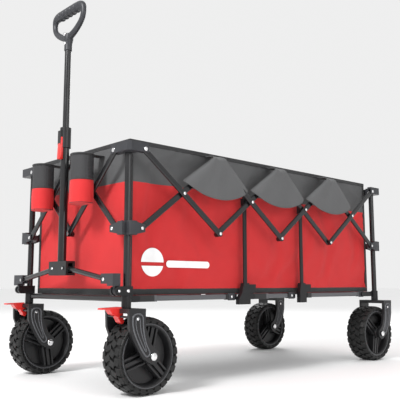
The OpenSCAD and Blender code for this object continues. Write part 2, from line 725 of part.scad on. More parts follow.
front_posts();
front_sleeves();
front_top_brackets();
front_mid_brackets();
front_links();
front_rivets();
front_bottom_rail();
handle_hinge_blocks();
front_wall();
side_walls();
tub_floor();
side_flaps();
cup_holders();
handle_yoke();
handle_arms();
handle_corner_brackets();
handle_lower_tube();
handle_lock_collar();
handle_upper_tube();
handle_grip();
front_fork_right();
front_fork_left();
front_axle_right();
front_axle_left();
brake_pedal_right();
brake_pedal_left();
front_tyre_right();
front_tyre_left();
rear_tyre_right();
rear_tyre_left();
front_rim_right();
front_rim_left();
rear_rim_right();
rear_rim_left();
rear_posts();
rear_sleeves();
rear_top_brackets();
rear_mid_brackets();
rear_links();
rear_rivets();
rear_bottom_rail();
rear_wall();
rear_forks();
link_a1();
link_a2();
link_a3();
link_a4();
link_b1();
link_b2();
link_b3();
link_b4();
front_sliders();
rear_sliders();
collar_2();
collar_3();
strut_2();
strut_3();
bottom_rail_1();
bottom_rail_2();
bottom_rail_3();
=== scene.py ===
# %% [markdown]
# # A folding camp wagon
# The wagon's frame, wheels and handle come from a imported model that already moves. This lesson
# dresses that model. Fabric, tyres, rims and the grip are modelled here with Blender's own tools,
# and every surface gets a procedural finish. All lengths are metres, in the model's own frame.

# %% Load the frame
import json
import math

import bpy
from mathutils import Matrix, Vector


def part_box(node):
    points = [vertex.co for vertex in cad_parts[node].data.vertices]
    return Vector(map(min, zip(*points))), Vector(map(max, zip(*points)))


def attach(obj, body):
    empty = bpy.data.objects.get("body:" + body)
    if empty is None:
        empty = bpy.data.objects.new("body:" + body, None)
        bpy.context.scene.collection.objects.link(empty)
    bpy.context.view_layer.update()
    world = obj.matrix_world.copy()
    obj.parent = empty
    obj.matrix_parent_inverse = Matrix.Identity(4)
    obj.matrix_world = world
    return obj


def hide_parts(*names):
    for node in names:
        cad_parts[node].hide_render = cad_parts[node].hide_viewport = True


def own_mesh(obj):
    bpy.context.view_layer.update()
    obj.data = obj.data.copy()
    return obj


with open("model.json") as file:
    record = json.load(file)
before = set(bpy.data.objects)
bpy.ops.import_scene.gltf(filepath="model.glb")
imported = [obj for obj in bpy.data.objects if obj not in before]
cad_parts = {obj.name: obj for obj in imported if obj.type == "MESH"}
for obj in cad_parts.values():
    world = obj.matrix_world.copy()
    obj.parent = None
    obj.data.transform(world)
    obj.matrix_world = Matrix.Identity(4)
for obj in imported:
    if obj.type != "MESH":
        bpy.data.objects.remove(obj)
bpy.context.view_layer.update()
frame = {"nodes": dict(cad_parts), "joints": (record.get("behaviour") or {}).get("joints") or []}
MM = 0.001

# %% [markdown]
# ## Where things are
# A box around a node says where it is, so no place is typed twice. The posts give the wagon's
# length and width, and the joints give the pivots of the scissor links.

# %% Read the main places
post_low, post_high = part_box("front_posts")
rear_low, rear_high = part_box("rear_posts")
FRONT = (post_low[0] + post_high[0]) / 2
REAR = (rear_low[0] + rear_high[0]) / 2
POST_R = (post_high[0] - post_low[0]) / 2
SIDE = post_high[1] - POST_R
pivot = {j["name"]: j["pos_m"] for j in frame["joints"] if j.get("pos_m")}
TOP_Z = pivot["fold"][2]
MID_Z = pivot["lower_joint_1"][2]
CROSS_Z = pivot["crossing_1"][2]
COLUMNS = [pivot["lower_joint_1"][0], pivot["upper_joint_2"][0], pivot["lower_joint_3"][0]]
print("post span", round(REAR - FRONT, 3), "width", round(2 * SIDE, 3))

# %% [markdown]
# ## Small helpers
# Operators act on whatever is selected, so each helper first selects one object alone. A piece's
# place is applied to its mesh at once, and its object stays at the origin.

# %% Selecting, adding, applying
def only(*pieces):
    bpy.ops.object.select_all(action="DESELECT")
    for piece in pieces:
        piece.select_set(True)
    bpy.context.view_layer.objects.active = pieces[0]


def edit_all(piece, operator, **settings):
    """Runs one mesh operator on the whole of a piece, in edit mode."""
    only(piece)
    bpy.ops.object.mode_set(mode="EDIT")
    bpy.ops.mesh.select_all(action="SELECT")
    getattr(bpy.ops.mesh, operator)(**settings)
    bpy.ops.object.mode_set(mode="OBJECT")
    return piece


def face_outward(piece):
    return edit_all(piece, "normals_make_consistent", inside=False)


def cut_rows(piece, heights):
    for z in heights:
        edit_all(piece, "bisect", plane_co=(0, 0, z), plane_no=(0, 0, 1))
    return piece


def settle(piece):
    only(piece)
    bpy.ops.object.transform_apply(location=True, rotation=True, scale=True)
    return piece


def add(kind, name, scale=(1, 1, 1), **settings):
    bpy.ops.object.select_all(action="DESELECT")
    getattr(bpy.ops.mesh, f"primitive_{kind}_add")(**settings)
    piece = bpy.context.object
    piece.name = name
    piece.scale = scale
    return settle(piece)


def modify(piece, kind, **settings):
    modifier = piece.modifiers.new(kind.lower(), kind)
    for key, value in settings.items():
        setattr(modifier, key, value)
    only(piece)
    bpy.ops.object.modifier_apply(modifier=modifier.name)
    return piece


def smooth(piece, angle=35):
    only(piece)
    bpy.ops.object.shade_smooth_by_angle(angle=math.radians(angle))
    return piece


def join(name, pieces):
    only(*pieces)
    bpy.ops.object.join()
    pieces[0].name = name
    return pieces[0]


def copy_of(piece, name):
    twin = piece.copy()
    twin.data = piece.data.copy()
    twin.name = name
    bpy.context.collection.objects.link(twin)
    return twin


def move(piece, by=(0, 0, 0), turn=(0, 0, 0)):
    piece.rotation_euler = turn
    piece.location = by
    return settle(piece)


LETTER, WORD = {-1: "r", 1: "l"}, {-1: "right", 1: "left"}
print("the wagon's right side is at negative Y")

# %% [markdown]
# Most of a wagon is plates, tubes and bent wire. A plate is a scaled cube with bevelled edges, a
# tube is a cylinder turned along its own axis, and a bent wire is a curve with a round bevel that
# is converted to a mesh. A rivet's head is a flattened sphere.

# %% Blocks, rods and rounded wires
def block(name, low, high, bevel=0.0):
    low, high = Vector(low), Vector(high)
    piece = add("cube", name, scale=high - low, size=1, location=(low + high) / 2)
    if bevel:
        modify(piece, "BEVEL", width=bevel, segments=3)
    return smooth(piece)


def rod(name, start, end, radius, sides=32, bevel=0.0):
    start, end = Vector(start), Vector(end)
    way = end - start
    turn = way.to_track_quat("Z", "Y").to_euler()
    piece = add("cylinder", name, vertices=sides, radius=radius, depth=way.length,
                location=(start + end) / 2, rotation=turn)
    if bevel:
        modify(piece, "BEVEL", width=bevel, segments=3, limit_method="ANGLE")
    return smooth(piece)


def new_object(name, data):
    made = bpy.data.objects.new(name, data)
    bpy.context.collection.objects.link(made)
    return made


def as_mesh(piece):
    only(piece)
    bpy.ops.object.convert(target="MESH")
    return bpy.context.object


def wire(name, points, radius, closed=False, radii=None, resolution=4):
    data = bpy.data.curves.new(name, "CURVE")
    data.dimensions = "3D"
    data.bevel_depth = radius
    data.bevel_resolution = resolution
    data.use_fill_caps = not closed
    spline = data.splines.new("NURBS")
    spline.points.add(len(points) - 1)
    for k, point in enumerate(points):
        spline.points[k].co = (*point, 1)
        spline.points[k].radius = radii[k] if radii else 1
    spline.use_cyclic_u = closed
    spline.use_endpoint_u = not closed
    spline.order_u = 3
    spline.resolution_u = 5
    return smooth(as_mesh(new_object(name, data)), 60)


def dome(name, centre, normal, radius, height):
    piece = add("uv_sphere", name, segments=20, ring_count=10, radius=1)
    piece.scale = (radius, radius, height)
    piece.rotation_euler = Vector(normal).to_track_quat("Z", "Y").to_euler()
    piece.location = centre
    return smooth(settle(piece), 60)


# %% [markdown]
# ## Shader maths as plain expressions
# A small class wraps a socket, so that `1 - mask` or `a * b` adds the Math node by itself. A
# `Finish` owns one material: its numbers that never vary sit on the shader's own sockets.

# %% The value and the finish
class Value:
    def __init__(self, finish, socket):
        self.finish, self.socket = finish, socket

    def _math(self, operation, a, b=0.0):
        return self.finish.node("ShaderNodeMath", {"operation": operation}, {0: a, 1: b})

    def __add__(self, other): return self._math("ADD", self, other)
    def __radd__(self, other): return self._math("ADD", other, self)
    def __sub__(self, other): return self._math("SUBTRACT", self, other)
    def __rsub__(self, other): return self._math("SUBTRACT", other, self)
    def __mul__(self, other): return self._math("MULTIPLY", self, other)
    def __rmul__(self, other): return self._math("MULTIPLY", other, self)
    def __gt__(self, other): return self._math("GREATER_THAN", self, other)
    def __lt__(self, other): return self._math("LESS_THAN", self, other)
    def sine(self): return self._math("SINE", self)


class Finish:
    def __init__(self, name, colour, roughness, **constants):
        self.material = bpy.data.materials.new(name)
        self.material.use_nodes = True
        self.tree = self.material.node_tree
        self.shader = self.tree.nodes["Principled BSDF"]
        self.shader.inputs["Base Color"].default_value = (*colour, 1)
        self.shader.inputs["Roughness"].default_value = roughness
        for key, value in constants.items():
            self.shader.inputs[key.replace("_", " ")].default_value = value
        self.material.diffuse_color = (*colour, 1)

    def node(self, kind, settings=None, inputs=None, output=0):
        made = self.tree.nodes.new(kind)
        for key, value in (settings or {}).items():
            setattr(made, key, value)
        for key, value in (inputs or {}).items():
            if isinstance(value, Value):
                self.tree.links.new(value.socket, made.inputs[key])
            else:
                made.inputs[key].default_value = value
        return Value(self, made.outputs[output])

    def point(self):
        return self.node("ShaderNodeTexCoord", output="Object")

    def axis(self, name):
        return self.node("ShaderNodeSeparateXYZ", inputs={0: self.point()}, output=name)

    def noise(self, scale, detail=3.0):
        inputs = {"Vector": self.point(), "Scale": scale, "Detail": detail}
        return self.node("ShaderNodeTexNoise", inputs=inputs)

    def between(self, mask, a, b):
        return self.node("ShaderNodeMix", {"data_type": "RGBA"},
                         {"Factor": mask, 6: (*a, 1), 7: (*b, 1)}, output=2)

    def feed(self, socket, value):
        self.tree.links.new(value.socket, self.shader.inputs[socket])

    def bump(self, height, distance, strength=1.0, over=None):
        inputs = {"Height": height, "Distance": distance, "Strength": strength}
        if over is not None:
            inputs["Normal"] = over
        return self.node("ShaderNodeBump", inputs=inputs)


# %% [markdown]
# ## Painted steel, moulded plastic, bright rivets
# The tubes are powder coated: nearly black, satin, with a faint orange peel. The brackets are
# glass-filled nylon, a little greyer and rougher, whose mould edges are soft. A Bevel node softens
# the edges of the shapes that come from the frame, because their meshes may not be changed.

# %% Hard finishes
def moulded(name, colour, roughness, edge=0.0009, grain=900, peel=0.00012, **constants):
    finish = Finish(name, colour, roughness, **constants)
    soft_edge = finish.node("ShaderNodeBevel", {"samples": 4}, {"Radius": edge})
    speckle = finish.noise(grain, 2)
    finish.feed("Normal", finish.bump(speckle, peel, 0.5, over=soft_edge))
    patches = finish.noise(22, 4)
    light = tuple(min(1, c * 1.35 + 0.004) for c in colour)
    dark = tuple(c * 0.8 for c in colour)
    finish.feed("Base Color", finish.between(patches, dark, light))
    finish.feed("Roughness", patches * 0.16 + (roughness - 0.08))
    return finish.material


TUBE_BLACK = moulded("satin_black_paint", (0.006, 0.006, 0.007), 0.24, grain=260, peel=0.00003,
                     Coat_Weight=0.2, Specular_IOR_Level=0.4)
GREY_NYLON = moulded("grey_nylon", (0.026, 0.027, 0.031), 0.40, Specular_IOR_Level=0.35)
BLACK_NYLON = moulded("black_nylon", (0.006, 0.006, 0.007), 0.38, Specular_IOR_Level=0.3)
FORK_NYLON = moulded("fork_nylon", (0.011, 0.011, 0.012), 0.32, Specular_IOR_Level=0.35)
# A lighter grey for the fork ribs and rim lips: painted highlight along their edges.
EDGE_HIGHLIGHT_GREY = moulded("worn_edge", (0.075, 0.077, 0.084), 0.28)
BRIGHT_STEEL = moulded("bright_rivet", (0.78, 0.78, 0.80), 0.2, grain=300, Metallic=1.0)
PEDAL_RED = moulded("pedal_red", (0.62, 0.022, 0.018), 0.3, grain=700, Coat_Weight=0.3)
RIM_PLASTIC = moulded("rim_plastic", (0.012, 0.012, 0.013), 0.34, grain=1200, Specular_IOR_Level=0.35)
RUBBER = moulded("tyre_rubber", (0.007, 0.007, 0.007), 0.5, edge=0.0006, grain=1600,
                 Specular_IOR_Level=0.3)
print("hard finishes:", len(bpy.data.materials))


def rail_tone_and_highlight(name, start, end):
    finish = Finish(name, (0.016, 0.016, 0.018), 0.38)
    along = finish.axis("X")
    # Between the black ends the tube is a lighter grey: partly its own colour and partly painted highlight.
    tube = (along > start) * (along < end)
    finish.feed("Base Color", finish.between(tube, (0.007, 0.007, 0.008), (0.085, 0.087, 0.094)))
    soft_edge = finish.node("ShaderNodeBevel", {"samples": 4}, {"Radius": 0.0012})
    finish.feed("Normal", finish.bump(finish.noise(600, 2), 0.0001, 0.4, over=soft_edge))
    finish.feed("Roughness", tube * -0.08 + 0.4)
    return finish.material


# %% [markdown]
# ## Coated canvas
# The tub is a close plain weave with a polyurethane coat. Threads of about a millimetre cross in
# a fine bump, broad soft patches vary the colour, and a little sheen catches the light at grazing
# angles. The threads follow object coordinates: height on one axis, length plus width on the other.

# %% Cloth finishes
THREAD = 2 * math.pi / 0.0016


def canvas(name, colour, roughness=0.78, thread_depth=0.00022, slack=0.0012):
    finish = Finish(name, colour, roughness, Sheen_Weight=0.08, Sheen_Roughness=0.5)
    up = finish.axis("Z") * THREAD
    across = (finish.axis("X") + finish.axis("Y")) * THREAD
    weave = up.sine() * across.sine()
    folds = finish.noise(9, 4)
    under = finish.bump(folds, slack, 0.7)
    finish.feed("Normal", finish.bump(weave, thread_depth, 0.6, over=under))
    light = tuple(min(1, c * 1.12 + 0.003) for c in colour)
    dark = tuple(c * 0.82 for c in colour)
    tone = finish.noise(14, 5) * 0.75 + (weave * 0.06 + 0.12)
    finish.feed("Base Color", finish.between(tone, dark, light))
    finish.feed("Roughness", weave * 0.05 + roughness)
    return finish.material


RED_CANVAS = canvas("red_canvas", (0.55, 0.010, 0.012))
GREY_CANVAS = canvas("grey_canvas", (0.078, 0.079, 0.081))
FLAP_CANVAS = canvas("flap_canvas", (0.088, 0.089, 0.091))
BLACK_WEBBING = canvas("black_webbing", (0.012, 0.012, 0.013), 0.7, 0.0004)
LINING = canvas("black_lining", (0.02, 0.02, 0.022), 0.85)
PRINT_WHITE = moulded("white_print", (0.85, 0.85, 0.85), 0.55)


MESH_HOLE = 2 * math.pi / 0.004


def cup_mesh():
    finish = Finish("cup_mesh", (0.02, 0.02, 0.022), 0.6)
    around = (finish.axis("Y") * MESH_HOLE).sine()
    up = (finish.axis("Z") * MESH_HOLE).sine()
    hole = (around * up) > 0.25
    finish.feed("Base Color", finish.between(hole, (0.035, 0.035, 0.038), (0.006, 0.006, 0.006)))
    finish.feed("Normal", finish.bump(around * up, 0.0006, 0.8))
    return finish.material


CUP_MESH = cup_mesh()
print("finishes so far:", len(bpy.data.materials))

# %% [markdown]
# ## Dressing the frame's own nodes
# These shapes are right as they are, so each only takes a finish.

# %% Finishes for the CAD nodes
def dress(material, *nodes):
    for name in nodes:
        piece = frame["nodes"][name]
        piece.data.materials.clear()
        piece.data.materials.append(material)
    print(material.name, "on", len(nodes), "nodes")


LINKS = [f"link_{row}{k}" for row in "ab" for k in (1, 2, 3, 4)]
dress(TUBE_BLACK, "front_posts", "rear_posts", "front_links", "rear_links", "front_bottom_rail",
      "rear_bottom_rail", "handle_arms", "handle_lower_tube", "handle_upper_tube", *LINKS)
dress(BLACK_NYLON, "front_sleeves", "rear_sleeves", "handle_hinge_blocks", "strut_2", "strut_3",
      "collar_2", "collar_3")
dress(GREY_NYLON, "front_top_brackets", "rear_top_brackets", "front_mid_brackets",
      "rear_mid_brackets", "front_sliders", "rear_sliders", "handle_corner_brackets")
dress(FORK_NYLON, "front_fork_right", "front_fork_left", "rear_forks", "handle_yoke", "handle_lock_collar")
dress(BRIGHT_STEEL, "front_rivets", "rear_rivets", "front_axle_right", "front_axle_left")
dress(PEDAL_RED, "brake_pedal_right", "brake_pedal_left")
RAIL_JOINTS = {1: (70, 46), 2: (81, 39), 3: (23, 21)}  # black millimetres at a rail's two ends
for k, (near, far) in RAIL_JOINTS.items():
    low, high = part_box(f"bottom_rail_{k}")
    dress(rail_tone_and_highlight(f"rail_{k}_paint", low[0] + near * MM, high[0] - far * MM), f"bottom_rail_{k}")


# %% [markdown]
# ## Giving a piece its material and body
# Each new piece rides on one body, may stand for a node, and takes one material.

# %% Place, material, body
def piece_of(obj, body, material, replaces=None):
    obj.data.materials.clear()
    obj.data.materials.append(material)
    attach(obj, body)
    if replaces:
        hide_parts(replaces)
    return obj


# %% [markdown]
# ## The tyre
# A chunky all-terrain tyre: a rounded carcass, two rows of slanted centre blocks and two rows of
# shoulder blocks that wrap over the edge. The carcass is a circle squashed to the tyre's section
# and spun once round. A block is a bevelled cube, copied round the wheel.

# %% Carcass and tread
WHEELS = [("front", "right", 76), ("front", "left", 40), ("rear", "right", 20), ("rear", "left", 100)]
tyre_low, tyre_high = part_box("front_tyre_right")
WHEEL_R = (tyre_high[2] - tyre_low[2]) / 2
WHEEL_W = tyre_high[1] - tyre_low[1]
RIM_R = (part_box("front_rim_right")[1][2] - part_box("front_rim_right")[0][2]) / 2
BLOCK_H = 6 * MM
TREADS = 24


def spun(section, weld):
    """Spins a closed section once round the Y axis, and welds the two ends of the turn."""
    edit_all(section, "spin", steps=96, angle=2 * math.pi, center=(0, 0, 0), axis=(0, 1, 0))
    edit_all(section, "remove_doubles", threshold=weld)
    return face_outward(section)


def carcass():
    out, hub = WHEEL_R - BLOCK_H + 0.5 * MM, RIM_R + 0.2 * MM
    ring = add("circle", "carcass", vertices=28, radius=1, rotation=(0, math.pi / 2, 0))
    for corner in ring.data.vertices:
        y, z = corner.co.y, corner.co.z
        corner.co.y = math.copysign(abs(y) ** 0.45, y) * WHEEL_W / 2
        corner.co.z = math.copysign(abs(z) ** 0.6, z) * (out - hub) / 2 + (out + hub) / 2
    return smooth(spun(ring, 0.0001), 50)


def tread_block(name, width, length, height, slant, y, radius, lean=0.0):
    brick = add("cube", name, scale=(length, width, height), size=1)
    modify(brick, "BEVEL", width=1.4 * MM, segments=1)
    move(brick, turn=(0, 0, slant))
    return move(brick, by=(0, y, radius), turn=(lean, 0, 0))


def tyre():
    tread = [carcass()]
    step = 2 * math.pi / TREADS
    top = WHEEL_R - BLOCK_H / 2
    rows = [
        (21 * MM, 17 * MM, 0.45, 9.5 * MM, top, 0.0, 0.0),
        (21 * MM, 17 * MM, -0.45, -9.5 * MM, top, 0.0, 0.5),
        (15 * MM, 20 * MM, 0.12, 27.5 * MM, top - 1.5 * MM, -0.22, 0.25),
        (15 * MM, 20 * MM, -0.12, -27.5 * MM, top - 1.5 * MM, 0.22, 0.75),
        (6 * MM, 18 * MM, 0.0, 34.2 * MM, top - 8 * MM, -0.5, 0.25),
        (6 * MM, 18 * MM, 0.0, -34.2 * MM, top - 8 * MM, 0.5, 0.75),
    ]
    for width, length, slant, y, radius, lean, phase in rows:
        tall = BLOCK_H if abs(lean) < 0.4 else 13 * MM
        first = tread_block("block", width, length, tall, slant, y, radius, lean)
        for k in range(TREADS):
            brick = copy_of(first, "block")
            tread.append(move(brick, turn=(0, (k + phase) * step, 0)))
        bpy.data.objects.remove(first)
    return join("tyre_pattern", tread)


# %% [markdown]
# ## The rim
# One moulding: a deep barrel, a dished web, and three wide spokes. A spoke is a plank, whose outer
# faces are inset and pushed in, with three ribs along it.

# %% Barrel, web, spokes, hub
def sunk_faces(piece, border, depth):
    for polygon in piece.data.polygons:
        polygon.select = abs(polygon.normal.y) > 0.9
    only(piece)
    bpy.ops.object.mode_set(mode="EDIT")
    bpy.ops.mesh.select_mode(type="FACE")
    bpy.ops.mesh.inset(thickness=border, depth=0)
    bpy.ops.mesh.inset(thickness=0.8 * MM, depth=-depth)
    bpy.ops.object.mode_set(mode="OBJECT")
    return piece


def ring(name, section):
    loop = add("circle", name, vertices=len(section), radius=1)
    for corner, (radius, y) in zip(loop.data.vertices, section):
        corner.co = (0, y, radius)
    return smooth(spun(loop, 0.00005), 40)


def rim():
    r, w = RIM_R - 0.1 * MM, WHEEL_W / 2 - 4 * MM
    barrel = ring("barrel", [(r, -w + 2 * MM), (r - 2 * MM, -w), (r - 9 * MM, -w),
                             (r - 12 * MM, -w + 3 * MM), (r - 15 * MM, -w + 20 * MM), (r - 16 * MM, 0),
                             (r - 15 * MM, w - 20 * MM), (r - 12 * MM, w - 3 * MM), (r - 9 * MM, w),
                             (r - 2 * MM, w), (r, w - 2 * MM)])
    web = ring("web", [(r - 14 * MM, -w + 24 * MM), (r - 14 * MM, w - 24 * MM), (38 * MM, 6 * MM),
                       (6 * MM, 5 * MM), (6 * MM, -5 * MM), (38 * MM, -6 * MM)])
    hub = rod("hub", (0, 4 * MM - WHEEL_W / 2 - 7 * MM, 0), (0, WHEEL_W / 2 + 3 * MM, 0), 19 * MM, 48, 2 * MM)
    parts = [barrel, web, hub]
    plank = block("plank", (10 * MM, -w + 7 * MM, -17 * MM), (r - 11 * MM, w - 7 * MM, 17 * MM))
    sunk_faces(plank, 6 * MM, 5 * MM)
    ribs = [plank]
    for z in (-14 * MM, 0, 14 * MM):
        half = 3 * MM if z else 5 * MM
        ribs.append(block("rib", (12 * MM, -w + 3 * MM, z - half), (r - 12 * MM, w - 3 * MM, z + half),
                          1.4 * MM))
    spoke = join("spoke", ribs)
    for k in range(3):
        parts.append(move(copy_of(spoke, "spoke"), turn=(0, -k * 2 * math.pi / 3, 0)))
    bpy.data.objects.remove(spoke)
    return join("rim_pattern", parts)


tyre_pattern = tyre()
rim_pattern = rim()
for end, side, angle in WHEELS:
    where, body = f"{end}_{side}", f"{end}_wheel_{side}"
    low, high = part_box(f"{end}_tyre_{side}")
    centre = [(a + b) / 2 for a, b in zip(low, high)]
    for pattern, what, slot, material in (
            (tyre_pattern, "tyre", "tread_rubber", RUBBER),
            (rim_pattern, "rim", "rim_plastic", RIM_PLASTIC)):
        made = move(copy_of(pattern, f"{what}_{where}"), by=centre, turn=(0, -math.radians(angle), 0))
        piece_of(made, body, material, f"{end}_{what}_{side}")
    # Lighter rings near the rim's two edges paint the highlight on its lips.
    lips = []
    for out in (-1, 1):
        lip = add("torus", "lip", major_segments=96, minor_segments=8, major_radius=RIM_R - 5.5 * MM,
                  minor_radius=1.1 * MM, rotation=(math.pi / 2, 0, 0),
                  location=(centre[0], centre[1] + out * (WHEEL_W / 2 - 4.2 * MM), centre[2]))
        lips.append(smooth(lip, 60))
    piece_of(join(f"rim_lips_{where}", lips), body, EDGE_HIGHLIGHT_GREY)
for pattern in (tyre_pattern, rim_pattern):
    bpy.data.objects.remove(pattern)
print("wheel radius", round(WHEEL_R, 4))

# %% [markdown]
# ## Fork ribs, bolts and rivets
# Each fork leg carries a raised rib round a sunk panel, and a rivet at its top. The rib is a thin
# closed wire that is half buried in the leg's outer face, in a lighter grey that paints its highlight.

# %% Ribs on the fork legs
RIB = [(-19, 213), (-18, 180), (-7, 152), (7, 128), (21, 108), (29, 102), (38, 108), (37, 116),
       (26, 134), (19, 156), (15, 182), (15, 213)]
INNER_RIB = [(-9, 205), (-8, 178), (3, 152), (16, 128), (27, 112), (24, 130), (12, 155), (6, 180),
             (5, 205)]


def rivet(name, body, place, facing, radius, height):
    return piece_of(dome(name, place, facing, radius, height), body, BRIGHT_STEEL)


def fork_trim(body, front_end, y, hand):
    lead = 1 if front_end else -1
    post = FRONT if front_end else REAR
    shift = 0 if front_end else 5 * MM
    made = []
    for outline, thick in ((RIB, 2.4 * MM), (INNER_RIB, 1.8 * MM)):
        path = []
        for dx, z in outline:
            lower = shift * max(0, min(1, (180 - z) / 60))
            path.append((post + lead * (dx * MM - lower), y, z * MM))
        made.append(wire("rib", path, thick, closed=True, resolution=3))
    return piece_of(join(f"fork_rib_{body}_{hand}", made), body, EDGE_HIGHLIGHT_GREY)


leg_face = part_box("front_fork_right")
LEG = (leg_face[1][1] - leg_face[0][1]) / 2
for body, front_end, middle in (("caster_right", True, -SIDE), ("caster_left", True, SIDE),
                                ("rear_frame", False, -SIDE), ("rear_frame", False, SIDE)):
    for out in (-1, 1):
        y = middle + out * LEG
        label = ("r" if middle < 0 else "l") + ("a" if out < 0 else "b")
        fork_trim(body, front_end, y, label)
        x = (FRONT - 2 * MM) if front_end else (REAR + 2 * MM)
        rivet(f"fork_rivet_{body}_{label}", body, (x, y, 0.2), (0, out, 0), 4.5 * MM, 2.4 * MM)
        axle_x = FRONT + 50 * MM if front_end else REAR - 45 * MM
        rivet(f"axle_cap_{body}_{label}", body, (axle_x, y + out * 4 * MM, WHEEL_R), (0, out, 0),
              9.6 * MM, 3 * MM)
print("fork legs trimmed: 8")

# %% [markdown]
# Every pivot of the scissors ends in a bright domed rivet. A dome is a squashed sphere, sunk half
# way into the head that the frame already has.

# %% Domes on the side pivots
def side_dome(name, body, x, z, node, radius=5.2 * MM):
    low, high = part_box(node)
    for hand in (-1, 1):
        y = high[1] if hand > 0 else low[1]
        rivet(f"rivet_{name}_{LETTER[hand]}", body, (x, y, z), (0, hand, 0), radius, 2.2 * MM)


J1, J2, J3 = COLUMNS
side_dome("crossing_1", "link_a1", pivot["crossing_1"][0], CROSS_Z, "link_a1")
side_dome("lower_1", "link_a1", J1, MID_Z, "link_a1")
side_dome("crossing_2", "collar_2", pivot["crossing_2"][0], CROSS_Z, "collar_2")
side_dome("lower_2", "link_b2", J2, MID_Z, "link_b2")
side_dome("crossing_3", "collar_3", pivot["crossing_3"][0], CROSS_Z, "collar_3")
side_dome("lower_3", "link_a3", J3, MID_Z, "link_a3")
side_dome("crossing_4", "link_a4", pivot["crossing_4"][0], CROSS_Z, "link_a4")
side_dome("front_slide", "front_slider", pivot["front_slider_joint"][0], MID_Z, "front_sliders")
side_dome("rear_slide", "rear_slider", pivot["rear_slider_joint"][0], MID_Z, "rear_sliders")
side_dome("front_top", "root", pivot["fold"][0], TOP_Z, "front_rivets", 6 * MM)
side_dome("rear_top", "rear_frame", pivot["rear_top_joint"][0], TOP_Z, "rear_rivets", 6 * MM)
print("pivots with domes: 11 a side")

# %% [markdown]
# ## Cheeks
# The middle brackets clasp the links between two cheeks. The frame has the inner one, so the outer
# one is added here: a plate that tapers to the rivet. The taper is made by moving the points of a
# bevelled block, because that keeps the plate's round edges.

# %% Outer cheeks of the middle brackets
def cheek(name, body, post_x, y_face, reach, hand):
    """A tapering plate outside a side link, from the post to the pivot at post_x + reach."""
    lead = 1 if reach > 0 else -1
    plate = block(name, (0, -1.4 * MM, -19 * MM), (abs(reach) + 10 * MM, 1.4 * MM, 19 * MM), 1.2 * MM)
    for corner in plate.data.vertices:
        share = max(0.0, (corner.co.x - 12 * MM) / (abs(reach) - 2 * MM))
        corner.co.z *= 1 - 0.5 * min(1.0, share) ** 1.5
    drum = rod("drum", (0, 0, -19 * MM), (0, 0, 19 * MM), 13 * MM, 32, 1.5 * MM)
    for corner in drum.data.vertices:
        corner.co.y = (corner.co.y - 13 * MM) if corner.co.y < 0 else corner.co.y * 0.11
    made = join(name, [plate, drum])
    for corner in made.data.vertices:
        corner.co = (post_x + lead * corner.co.x, y_face + hand * corner.co.y, MID_Z + corner.co.z)
    return piece_of(smooth(face_outward(made)), body, GREY_NYLON)


for end, body, slider in (("front", "root", "front_slider"), ("rear", "rear_frame", "rear_slider")):
    low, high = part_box(f"{end}_sliders")
    post = FRONT if end == "front" else REAR
    reach = pivot[f"{end}_slider_joint"][0] - post
    for hand in (-1, 1):
        y = (high[1] if hand > 0 else low[1]) - hand * 0.3 * MM
        cheek(f"cheek_{slider}_{LETTER[hand]}", slider, post, y, reach, hand)
    lead = -1 if end == "front" else 1
    for hand in (-1, 1):
        label = LETTER[hand]
        x, inset = post + lead * 25.8 * MM, 35 * MM
        plate = block("plate", (0, -13 * MM, -19 * MM), (1, inset + 10 * MM, 19 * MM), 1.2 * MM)
        for corner in plate.data.vertices:
            share = min(1.0, max(0.0, (corner.co.y - 8 * MM) / (inset - 4 * MM)))
            corner.co.z *= 1 - 0.5 * share ** 1.5
            corner.co.x = -1.4 * MM if corner.co.x < 0.5 else 1.4 * MM
            corner.co = (x + corner.co.x, hand * (SIDE - corner.co.y), MID_Z + corner.co.z)
        boss = rod("boss", (x, hand * (SIDE - inset), MID_Z),
                   (post + lead * 6 * MM, hand * (SIDE - inset), MID_Z), 7.5 * MM)
        back = block("back", (min(x, post + lead * 12 * MM), hand * SIDE - 12 * MM, MID_Z - 18.5 * MM),
                     (max(x, post + lead * 12 * MM), hand * SIDE + 12 * MM, MID_Z + 18.5 * MM), 1 * MM)
        made = join(f"end_cheek_{end}_{label}", [plate, boss, back])
        piece_of(smooth(face_outward(made)), body, GREY_NYLON)
        rivet(f"end_rivet_{end}_{label}", body, (x + lead * 1.4 * MM, hand * (SIDE - inset), MID_Z),
              (lead, 0, 0), 5.2 * MM, 2.2 * MM)
print("cheeks: 8")

# %% [markdown]
# ## Bolts
# Bolts hold the handle's castings together. Each head is a dome on the face of its casting's box,
# so it follows the casting when a size changes.

# %% Bolts on the handle's castings
yoke_low, yoke_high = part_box("handle_yoke")
corner_low, corner_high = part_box("handle_corner_brackets")
hinge_low, hinge_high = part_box("handle_hinge_blocks")
for hand in (-1, 1):
    label = LETTER[hand]
    rivet(f"yoke_bolt_{label}", "handle", (yoke_low[0], hand * 30 * MM, (yoke_low[2] + yoke_high[2]) / 2),
          (-1, 0, 0), 5 * MM, 2 * MM)
    inner = hand * (abs(corner_high[1]) - 46 * MM)
    rivet(f"arm_bolt_{label}", "handle", (corner_low[0], inner, corner_high[2] - 15 * MM), (-1, 0, 0),
          5.5 * MM, 2 * MM)
    face = hand * (SIDE + 13 * MM)
    for k, x in enumerate((FRONT - 33 * MM, FRONT - 3 * MM)):
        rivet(f"hinge_bolt_{label}{k}", "root", (x, face, (hinge_low[2] + hinge_high[2]) / 2),
              (0, hand, 0), 5 * MM, 2.2 * MM)
print("bolts: 8")

# %% [markdown]
# ## The lock's lever
# A red lever on the collar locks the telescopic handle. It is a bevelled block whose front leans
# back toward its top and swells a little in the middle, by moving its points.

